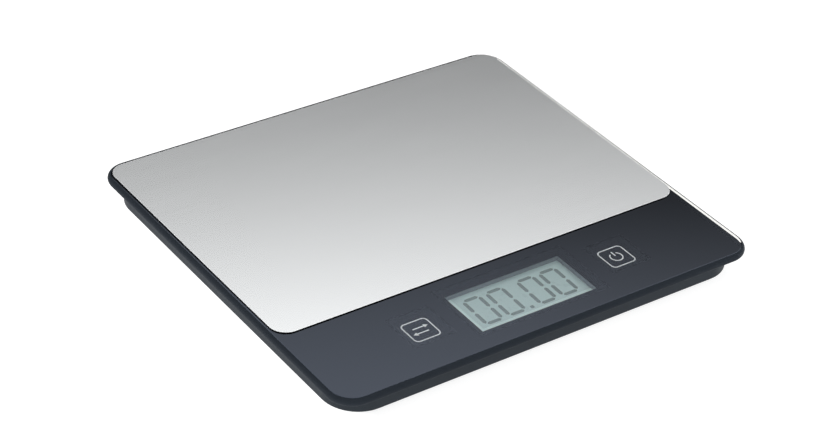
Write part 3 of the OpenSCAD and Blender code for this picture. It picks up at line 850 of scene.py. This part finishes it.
@dataclass
class GlassTop:
    """The tempered glass slab with its printed underside.

    What a face carries depends on the way it looks. The values polished, arris
    and inked are heights of its normal, and rightward is the normal's part to
    the right.
    """

    width: float = 220.0 * MM
    depth: float = 200.0 * MM
    low: float = 10.6 * MM
    high: float = 14.6 * MM
    corner: float = 12.0 * MM
    print_gap: float = 0.02 * MM
    rim_waist: float = 0.01 * MM
    polished: float = 0.995
    arris: tuple[float, float] = (0.6, 0.98)
    inked: float = -0.95
    rightward: float = 0.94
    window: Zone = WINDOW

    def build(self, paint: Paintbox) -> None:
        """Makes the slab, with ink on its underside except over the display.

        Args:
            paint: where the materials come from.
        """
        low = self.low + self.print_gap
        half = (self.high - low) / 2
        edge = half - self.rim_waist
        mesh = rounded_plate(
            self.width, self.depth, low, self.high, self.corner, edge, edge,
            corner_steps=28, edge_steps=10,
        )
        outline_zone(mesh, self.window, low)
        mesh.normal_update()
        for face in mesh.faces:
            middle = face.calc_center_median()
            if face.normal.z < self.inked:
                face.material_index = 0 if self.window.holds(middle) else 1
            else:
                face.material_index = 0 if self.is_clear(face.normal) else 2
        coats = [paint.get(name) for name in ("pane", "slate_ink", "ground_edge")]
        piece("glass_pane", mesh, coats, replaced=("glass_slab",))
        paint.dress("glass_ink", "slate_ink")

    def is_clear(self, normal: Vector) -> bool:
        """Tells whether a face is clear glass: the polished top, and the right rim off its arris,
        which alone is kept clear as a painted highlight, showing a bright line where the other rims
        stay dark.

        Args:
            normal: the way that the face looks.

        Returns:
            Whether it stays clear of the ink.
        """
        level = math.hypot(normal.x, normal.y)
        # The right rim is clear only to give it a painted highlight line.
        on_highlight_rim = normal.x > self.rightward * level
        on_arris = self.arris[0] < normal.z < self.arris[1]
        return normal.z > self.polished or (on_highlight_rim and not on_arris)


@dataclass
class SteelSheet:
    """The brushed sheet on which things are weighed, with its bonding film."""

    width: float = 214.4 * MM
    depth: float = 145.7 * MM
    centre_y: float = 24.35 * MM
    low: float = 14.7 * MM
    high: float = 15.2 * MM
    corner: float = 8.0 * MM
    top_edge: float = 0.13 * MM
    bottom_edge: float = 0.05 * MM
    cut_face: float = 0.5

    def build(self, paint: Paintbox) -> None:
        """Makes the sheet with its softly broken edge, its cut sides painted dark as a painted
        shadow line along the edge.

        Args:
            paint: where the materials come from.
        """
        mesh = rounded_plate(
            self.width, self.depth, self.low, self.high, self.corner, self.top_edge,
            self.bottom_edge, centre=(0.0, self.centre_y), corner_steps=24, edge_steps=4,
        )
        mesh.normal_update()
        for face in mesh.faces:
            # Faces that don't look up are the cut sides, painted dark as a shadow line.
            face.material_index = 1 if face.normal.z < self.cut_face else 0
        coats = [paint.get("sheet_steel"), paint.get("cut_edge_shade")]
        piece("steel_sheet", mesh, coats, replaced=("steel_platform",))
        # The film's dark tone is painted shade, a shadow line under the steel's edge.
        paint.dress("platform_film", "film")


@dataclass
class TouchKey:
    """A printed key: a rounded square outline with a sign in it."""

    place: Zone
    sign: Sign
    side: float = 12.8 * MM
    corner: float = 2.4 * MM
    stroke: float = 0.66 * MM
    low: float = 10.64 * MM
    ink: float = 0.03 * MM
    ring_radius: float = 2.9 * MM
    ring_start: float = 122.0
    ring_sweep: float = 296.0
    ring_bar: float = 3.2 * MM
    ring_bar_y: float = 2.3 * MM
    arrow_length: float = 6.0 * MM
    arrow_y: float = 1.7 * MM
    head_x: float = 3.4 * MM
    head_size: float = 1.35 * MM

    def build(self, paint: Paintbox) -> None:
        """Makes the key's print, just above the dark ink.

        Args:
            paint: where the materials come from.
        """
        centre = (self.place.x, self.place.y)
        high = self.low + self.ink
        mesh = stroke_frame(self.side, self.corner, self.stroke, self.low, high, centre)
        makers = {Sign.SWAP: self.swap_sign, Sign.POWER: self.power_sign}
        gather(mesh, makers[self.sign](), (*centre, self.low))
        piece("key_print_" + self.sign.value, mesh, [paint.get("mark_ink_painted_glow")])

    def power_sign(self) -> bmesh.types.BMesh:
        """Makes an open ring with a bar in its gap.

        Returns:
            A bmesh with the sign about the origin.
        """
        mesh = arc_stroke(
            self.ring_radius, self.stroke, self.ink, self.ring_start, self.ring_sweep
        )
        upright = bar(self.ring_bar, self.stroke, self.ink, (0.0, self.ring_bar_y), angle=90.0)
        gather(mesh, upright)
        return mesh

    def swap_sign(self) -> bmesh.types.BMesh:
        """Makes two arrows that point opposite ways.

        Returns:
            A bmesh with the sign about the origin.
        """
        mesh = bmesh.new()
        for way, angle in ((1.0, 0.0), (-1.0, 180.0)):
            y = way * self.arrow_y
            gather(mesh, bar(self.arrow_length, self.stroke, self.ink, (0.0, y)))
            gather(mesh, arrow_head(self.head_size, self.ink, (way * self.head_x, y), angle))
        return mesh


@dataclass
class Display:
    """The segment display below the window, with its frame and gasket.

    The active zone carries the digits, and round it lies a border painted lighter, a painted
    highlight for the lit strip along the display's left and front edges. The value pointed is the
    share of a segment's width that each corner loses.
    """

    centre: tuple[float, float] = (0.96 * MM, -71.17 * MM)
    glass_centre: tuple[float, float] = (0.0, -71.8 * MM)
    glass_size: tuple[float, float] = (66.0 * MM, 32.0 * MM)
    top: float = 8.1 * MM
    glass: float = 1.1 * MM
    digit_width: float = 8.25 * MM
    digit_height: float = 17.8 * MM
    stroke: float = 1.8 * MM
    gap: float = 0.5 * MM
    slant: float = 1.5
    digit_starts: tuple[float, ...] = (-24.5 * MM, -12.3 * MM, 4.35 * MM, 16.35 * MM)
    point_x: float = -0.3 * MM
    film: float = 0.02 * MM
    active: Zone = Zone(1.8 * MM, -69.7 * MM, 57.6 * MM, 24.6 * MM)
    glass_corner: float = 0.4 * MM
    glass_top_edge: float = 0.15 * MM
    glass_bottom_edge: float = 0.1 * MM
    pointed: float = 0.47
    finishes: tuple[tuple[str, str], ...] = (
        ("display_rear_glass", "display_glass"), ("display_reflector", "reflector"),
        ("display_holder", "gasket_foam"), ("display_gasket", "gasket_foam"),
        ("zebra_strip", "contact_rubber"),
    )

    def build(self, paint: Paintbox) -> None:
        """Makes the display glass and its dark segments, and dresses the rest.

        Args:
            paint: where the materials come from.
        """
        front = rounded_plate(
            *self.glass_size, self.top - self.glass, self.top, self.glass_corner,
            self.glass_top_edge, self.glass_bottom_edge, centre=self.glass_centre,
            corner_steps=3, edge_steps=2,
        )
        outline_zone(front, self.active, self.top)
        # Faces outside the active zone get the lighter border, a painted highlight.
        for face in front.faces:
            face.material_index = 0 if self.active.holds(face.calc_center_median()) else 1
        coats = [paint.get("display_glass"), paint.get("display_border_highlight")]
        piece("display_face", front, coats, replaced=("display_front_glass",))
        piece("display_digits", self.digits(), [paint.get("segment_film")])
        paint.dress_all(self.finishes)

    def digits(self) -> bmesh.types.BMesh:
        """Makes four zeros and a point, in place on the display glass.

        Returns:
            A bmesh with all the segments.
        """
        mesh = bmesh.new()
        foot = -self.digit_height / 2
        for start in self.digit_starts:
            gather(mesh, self.zero(), (start, foot, 0.0))
        gather(mesh, block(self.stroke, self.stroke, 0.0, self.film, (self.point_x, foot)))
        bmesh.ops.transform(mesh, matrix=self.shear(), verts=mesh.verts)
        move(mesh, (*self.centre, self.top))
        return mesh

    def shear(self) -> Matrix:
        """Gives the small lean of the digits to the right.

        Returns:
            The shear as a matrix.
        """
        lean = Matrix.Identity(4)
        lean[0][1] = math.tan(math.radians(self.slant))
        return lean

    def segment(self, length: float, upright: bool) -> bmesh.types.BMesh:
        """Makes one segment with pointed ends from its lower or left end.

        Args:
            length: distance between the corners that it joins.
            upright: whether it stands along Y rather than lies along X.

        Returns:
            A bmesh with the segment, starting at the origin.
        """
        run = length - 2 * self.gap
        mesh = block(run, self.stroke, 0.0, self.film)
        corners = [e for e in mesh.edges if is_upright(e)]
        bmesh.ops.bevel(
            mesh, geom=corners, offset=self.stroke * self.pointed, offset_type="OFFSET", segments=1,
            profile=ROUND, affect="EDGES", material=-1,
        )
        move(mesh, (length / 2, 0.0, 0.0))
        if upright:
            turn(mesh, 90.0)
        return mesh

    def zero(self) -> bmesh.types.BMesh:
        """Makes the six segments of a zero.

        Returns:
            A bmesh with the digit, its lower left corner at the origin.
        """
        mesh = bmesh.new()
        half = self.digit_height / 2
        for x in (0.0, self.digit_width):
            for y in (0.0, half):
                gather(mesh, self.segment(half, True), (x, y, 0.0))
        for y in (0.0, self.digit_height):
            gather(mesh, self.segment(self.digit_width, False), (0.0, y, 0.0))
        return mesh


@dataclass
class Base:
    """The moulded base, its tape, feet and battery cover."""

    finishes: tuple[tuple[str, str], ...] = (
        ("base_housing", "base_plastic"), ("rim_tape", "foam_tape"),
        ("battery_cover", "cover_plastic"),
    )
    corners: tuple[Corner, ...] = tuple(Corner)

    def build(self, paint: Paintbox) -> None:
        """Dresses the base and what hangs from it.

        Args:
            paint: where the materials come from.
        """
        paint.dress_all(self.finishes)
        for corner in self.corners:
            paint.dress("foot_" + corner.value, "foot_plastic")
            paint.dress("foot_pad_" + corner.value, "pad_rubber")


@dataclass
class Workings:
    """Everything inside the base, all of it CAD nodes."""

    finishes: tuple[tuple[str, str], ...] = (
        ("main_board", "board"), ("controller_cap", "chip_cap"),
        ("board_components", "small_parts"), ("board_connectors", "plug_nylon"),
        ("touch_spring_left", "spring_wire"), ("touch_spring_right", "spring_wire"),
        ("strain_gauges", "gauge_coat"), ("cell_screws", "zinc"),
        ("battery_wire_plus", "red_wire"), ("battery_wire_minus", "black_wire"),
        ("coin_cell", "coin_steel"), ("contact_plus", "nickel"), ("contact_minus", "nickel"),
    )
    corners: tuple[Corner, ...] = tuple(Corner)

    def build(self, paint: Paintbox) -> None:
        """Dresses the board, cells, wires, coin cell and contacts.

        Args:
            paint: where the materials come from.
        """
        paint.dress_all(self.finishes)
        for corner in self.corners:
            paint.dress("load_cell_" + corner.value, "cell_alloy")
            paint.dress("cell_wires_" + corner.value, "red_wire")


@dataclass
class Studio:
    """Floor, soft light from above and the camera.

    A light changes between the two lengths of its edge, measured along its axis.
    A side glow says where on X it starts, where it is full and how strong it is.
    """

    focal: float = 103.36
    sensor: float = 36.0
    azimuth: float = -37.347
    elevation: float = 34.189
    roll: float = 4.136
    distance: float = 1.0508
    aim: tuple[float, float, float] = (-11.05 * MM, -7.63 * MM, 14.6 * MM)
    dome_axis: tuple[float, float, float] = (0.124, 0.024, 1.0)
    dome_edge: tuple[float, float] = (0.60, 0.715)
    dome_light: float = 1.63
    zenith_axis: tuple[float, float, float] = (0.0, 0.0, 1.0)
    zenith_edge: tuple[float, float] = (0.86, 0.97)
    zenith_light: float = 0.78
    screen_axis: tuple[float, float, float] = (0.515, 0.674, 0.53)
    screen_edge: tuple[float, float] = (0.80, 0.93)
    side_light: float = 0.6
    clip: tuple[float, float] = (0.05, 100.0)
    floor_radius: float = 30.0
    floor_steps: int = 96
    floor_rough: float = 0.9
    floor_tone: float = 0.35
    floor_glow: float = 0.85
    left_glow: tuple[float, float, float] = (-0.09, -0.15, 2.15)
    right_glow: tuple[float, float, float] = (0.126, 0.145, 4.85)

    def build(self) -> None:
        """Makes the floor, the light and the camera."""
        bpy.context.scene.view_settings.view_transform = "Standard"
        self.make_floor()
        self.make_dome()
        self.make_camera()

    def make_floor(self) -> None:
        """Makes a plain pale floor under the feet."""
        mesh = bmesh.new()
        bmesh.ops.create_circle(
            mesh, cap_ends=True, segments=self.floor_steps, radius=self.floor_radius
        )
        data = bpy.data.meshes.new("floor")
        mesh.to_mesh(data)
        mesh.free()
        data.materials.append(self.floor_paint())
        floor = bpy.data.objects.new("floor", data)
        bpy.context.scene.collection.objects.link(floor)

    def floor_paint(self) -> bpy.types.Material:
        """Makes the floor's material, whose glow is stronger to the left and right.

        Returns:
            A procedural material on Object coordinates.
        """
        sheet = NodeSheet("floor_paint")
        tone = (self.floor_tone,) * 3
        sheet.constants(
            Base_Color=(*tone, 1.0), Roughness=self.floor_rough, Specular_IOR_Level=0.0,
            Emission_Color=WHITE,
        )
        across = sheet.axes()["X"]
        left, right = (
            sheet.change(across, (start, full), (self.floor_glow, strength), soft=False)
            for start, full, strength in (self.left_glow, self.right_glow)
        )
        glow = sheet.combine("MAXIMUM", left, right)
        sheet.join(glow, sheet.shader.inputs["Emission Strength"])
        return sheet.material

    def make_dome(self) -> None:
        """Makes a broad soft light overhead, dimmer low down and dark behind the scale."""
        world = bpy.data.worlds.new("studio")
        bpy.context.scene.world = world
        world.use_nodes = True
        sky = NodeGraph(world.node_tree)
        background = sky.tree.nodes["Background"]
        background.inputs["Color"].default_value = WHITE
        overhead = self.make_glow(sky, self.dome_axis, self.dome_edge, (0.0, self.dome_light))
        calm = (self.dome_light, self.zenith_light)
        highest = self.make_glow(sky, self.zenith_axis, self.zenith_edge, calm)
        around = self.make_glow(sky, self.screen_axis, self.screen_edge, (self.side_light, 0.0))
        above = sky.combine("MINIMUM", overhead, highest)
        sky.join(sky.combine("MAXIMUM", above, around), background.inputs["Strength"])

    def make_glow(
        self, sky: NodeGraph, axis: Sequence[float], edge: Sequence[float],
        strength: Sequence[float],
    ) -> bpy.types.NodeSocket:
        """Adds a light that changes smoothly with the direction's distance from an axis.

        Args:
            sky: the world's nodes.
            axis: the axis.
            edge: two lengths along the axis between which the light changes.
            strength: the strengths at and beyond these two.

        Returns:
            The strength's output.
        """
        where = sky.add("ShaderNodeTexCoord")
        height = sky.add("ShaderNodeVectorMath", operation="DOT_PRODUCT")
        height.inputs[1].default_value = axis
        sky.join(where.outputs["Generated"], height.inputs[0])
        return sky.change(height.outputs["Value"], edge, strength)

    def make_camera(self) -> None:
        """Places the camera as the photograph was taken."""
        side, rise, roll = (math.radians(v) for v in (self.azimuth, self.elevation, self.roll))
        flat = math.cos(rise)
        back = Vector((math.sin(side) * flat, -math.cos(side) * flat, math.sin(rise)))
        level = Vector((math.cos(side), math.sin(side), 0.0))
        upward = back.cross(level)
        right = math.cos(roll) * level + math.sin(roll) * upward
        up = -math.sin(roll) * level + math.cos(roll) * upward
        lens = bpy.data.cameras.new("camera")
        lens.sensor_width = self.sensor
        lens.lens = self.focal
        lens.clip_start, lens.clip_end = self.clip
        camera = bpy.data.objects.new("camera", lens)
        bpy.context.scene.collection.objects.link(camera)
        facing = Matrix((right, up, back)).transposed().to_4x4()
        camera.matrix_world = Matrix.Translation(Vector(self.aim) + back * self.distance) @ facing
        bpy.context.scene.camera = camera


def main() -> None:
    """Builds the studio and the scale, sub-assembly by sub-assembly."""
    logging.basicConfig(level=logging.INFO, format="%(name)s: %(message)s")
    paint = Paintbox()
    Studio().build()
    swap_key = TouchKey(KEYS[0], Sign.SWAP)
    power_key = TouchKey(KEYS[1], Sign.POWER)
    for part in (GlassTop(), SteelSheet(), swap_key, power_key, Display(), Base(), Workings()):
        part.build(paint)
        log.info("%s: done", type(part).__name__)


if __name__ == "__main__":
    main()
